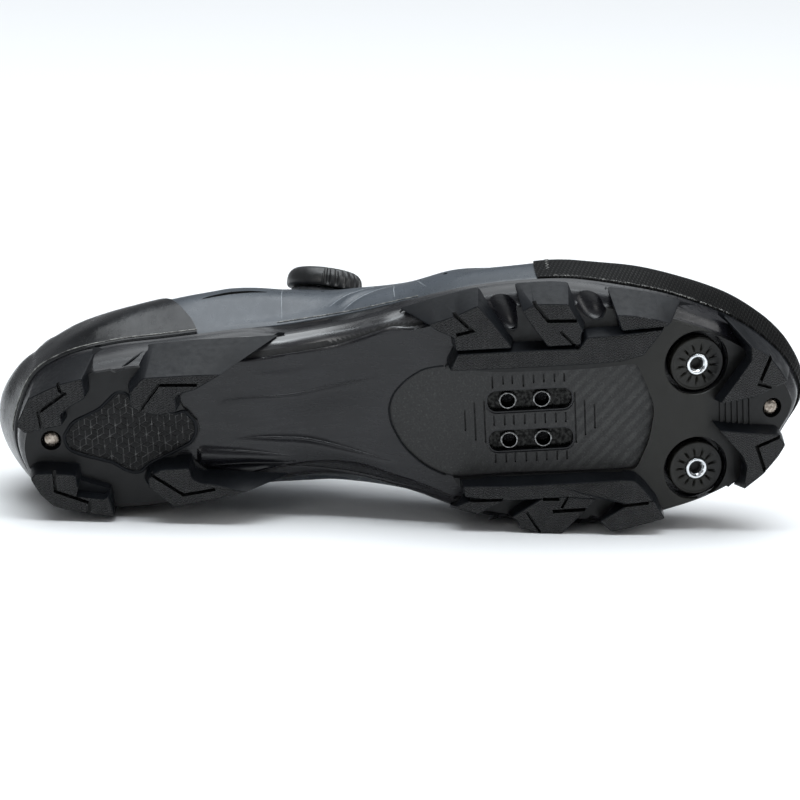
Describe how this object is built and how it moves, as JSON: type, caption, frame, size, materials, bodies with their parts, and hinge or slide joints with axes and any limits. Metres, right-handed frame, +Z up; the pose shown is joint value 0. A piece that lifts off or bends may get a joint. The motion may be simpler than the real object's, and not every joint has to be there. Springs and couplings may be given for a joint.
{
  "type": "cycling shoe",
  "caption": "Off-road cycling shoe for the right foot with a lugged tread, a slotted cleat panel, toe stud sockets, a low hollow upper and a lace dial.",
  "frame": {"origin": "centre of the bounding box on the floor, the shoe lying on its medial side", "axes": "+Y from heel to toe, +X the side that the sole faces, +Z up, which is the lateral side of the shoe"},
  "size_m": [0.1144, 0.2784, 0.0918],
  "materials": {
    "plate": "satin moulded sole plate",
    "rubber": "matt moulded rubber with a fine scale grain",
    "inlay": "hexagon grain",
    "nut_steel": "black oxide",
    "insert_metal": "bright turned insert",
    "screw_metal": "dulled pan head",
    "upper_shell": "satin synthetic leather",
    "toe_cap_skin": "textured abrasion skin",
    "heel_counter_skin": "glossy heel skin",
    "tongue_fabric": "padded mesh",
    "insole_fabric": "brushed knit",
    "dial_plastic": "satin moulded",
    "lace_cord": "coated cable"
  },
  "bodies": {
    "root": {"sole_plate": "plate", "heel_tread": "rubber", "forefoot_tread": "rubber", "heel_inlay": "inlay", "cleat_nut_plate": "nut_steel", "stud_disc_lateral": "rubber", "stud_disc_medial": "rubber", "stud_insert_lateral": "insert_metal", "stud_insert_medial": "insert_metal", "heel_screw": "screw_metal", "toe_screw": "screw_metal", "upper": "upper_shell", "toe_cap": "toe_cap_skin", "heel_counter": "heel_counter_skin", "tongue": "tongue_fabric", "insole": "insole_fabric", "dial_base": "dial_plastic", "dial_knob": "dial_plastic", "lace": "lace_cord", "lace_guide_1": "dial_plastic", "lace_guide_2": "dial_plastic", "lace_guide_3": "dial_plastic", "lace_guide_4": "dial_plastic"}
  },
  "joints": []
}
